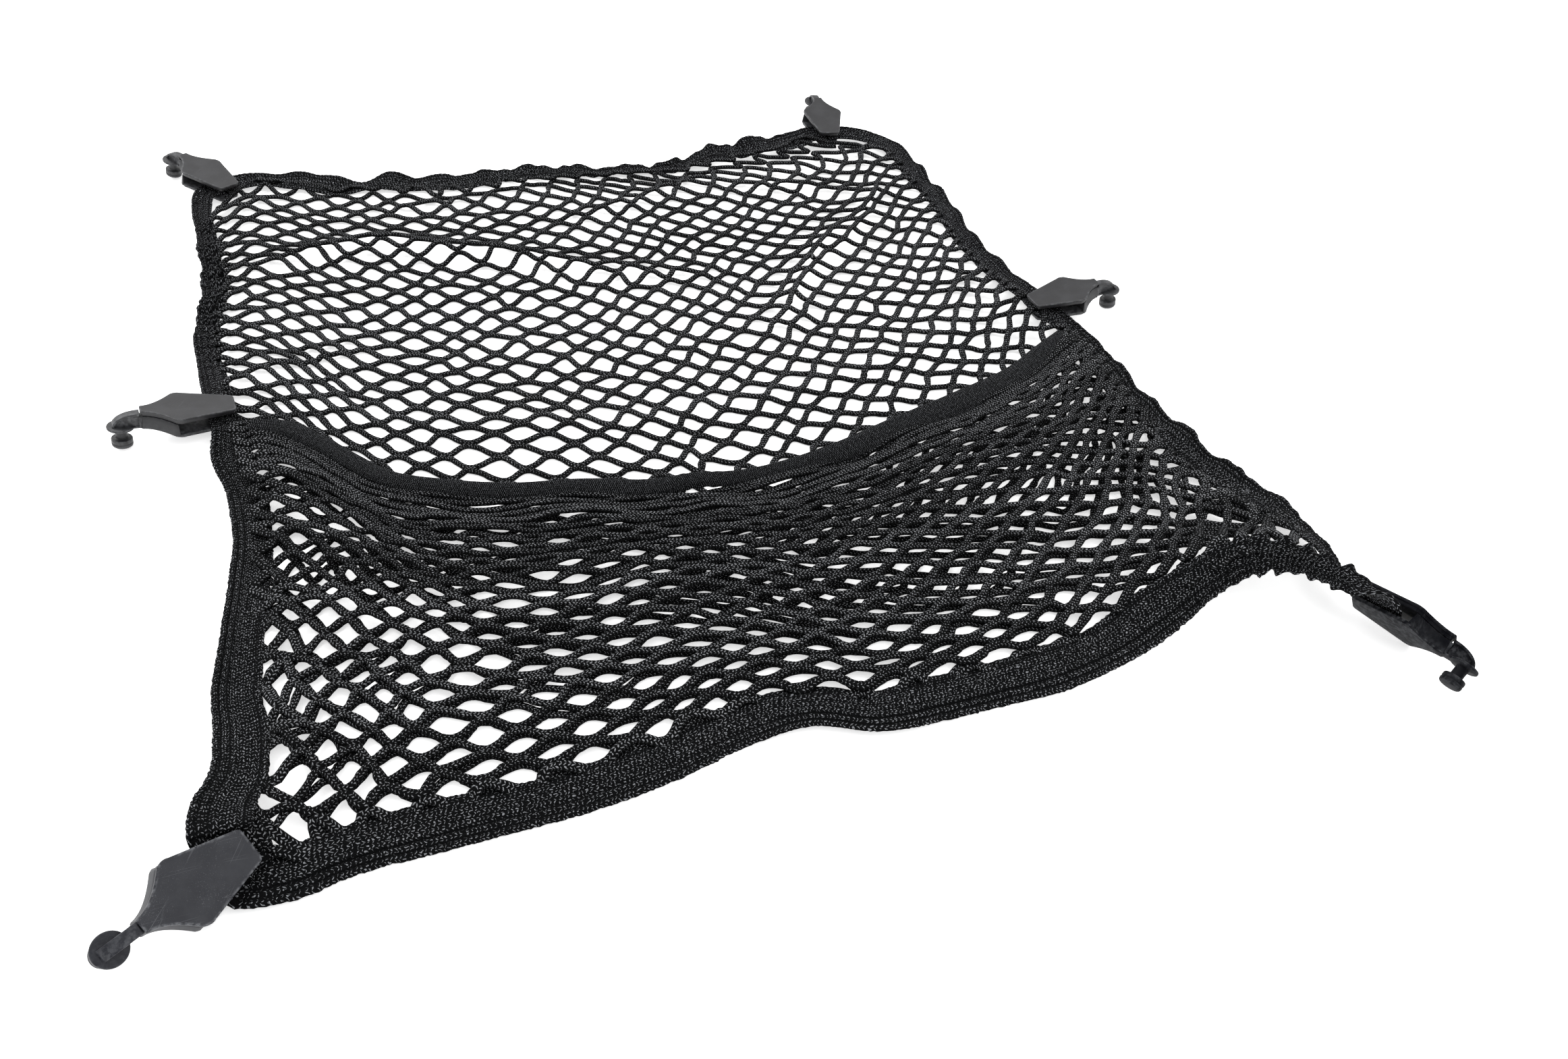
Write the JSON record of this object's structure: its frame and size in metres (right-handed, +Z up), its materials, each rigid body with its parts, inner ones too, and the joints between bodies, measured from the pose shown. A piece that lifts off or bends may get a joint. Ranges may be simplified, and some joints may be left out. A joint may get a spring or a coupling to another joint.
{
  "type": "cargo net",
  "caption": "Soft mesh cargo net with a front pocket, bound with knitted tape and held by plastic hook clips, lying relaxed.",
  "frame": {"origin": "middle of the whole object's box, on the surface that the net lies on", "axes": "+X along the front edge to the right, +Y from the front edge to the back edge, +Z up"},
  "size_m": [0.6463, 0.7392, 0.0345],
  "materials": {
    "knitted_mesh": "matt knitted cord",
    "knitted_tape": "matt knitted tape",
    "ribbed_elastic": "matt ribbed elastic",
    "lid_plastic": "satin moulded",
    "body_plastic": "satin moulded"
  },
  "bodies": {
    "root": {"main_net": "knitted_mesh", "pocket_net": "knitted_mesh", "mouth_band": "ribbed_elastic", "left_tape": "knitted_tape", "back_tape": "knitted_tape", "right_tape": "knitted_tape", "front_tape": "knitted_tape", "clip_front_left_lid": "lid_plastic", "clip_front_left_body": "body_plastic", "clip_middle_left_lid": "lid_plastic", "clip_middle_left_body": "body_plastic", "clip_back_left_lid": "lid_plastic", "clip_back_left_body": "body_plastic", "clip_back_right_lid": "lid_plastic", "clip_back_right_body": "body_plastic", "clip_middle_right_lid": "lid_plastic", "clip_middle_right_body": "body_plastic", "clip_front_right_lid": "lid_plastic", "clip_front_right_body": "body_plastic"}
  },
  "joints": []
}
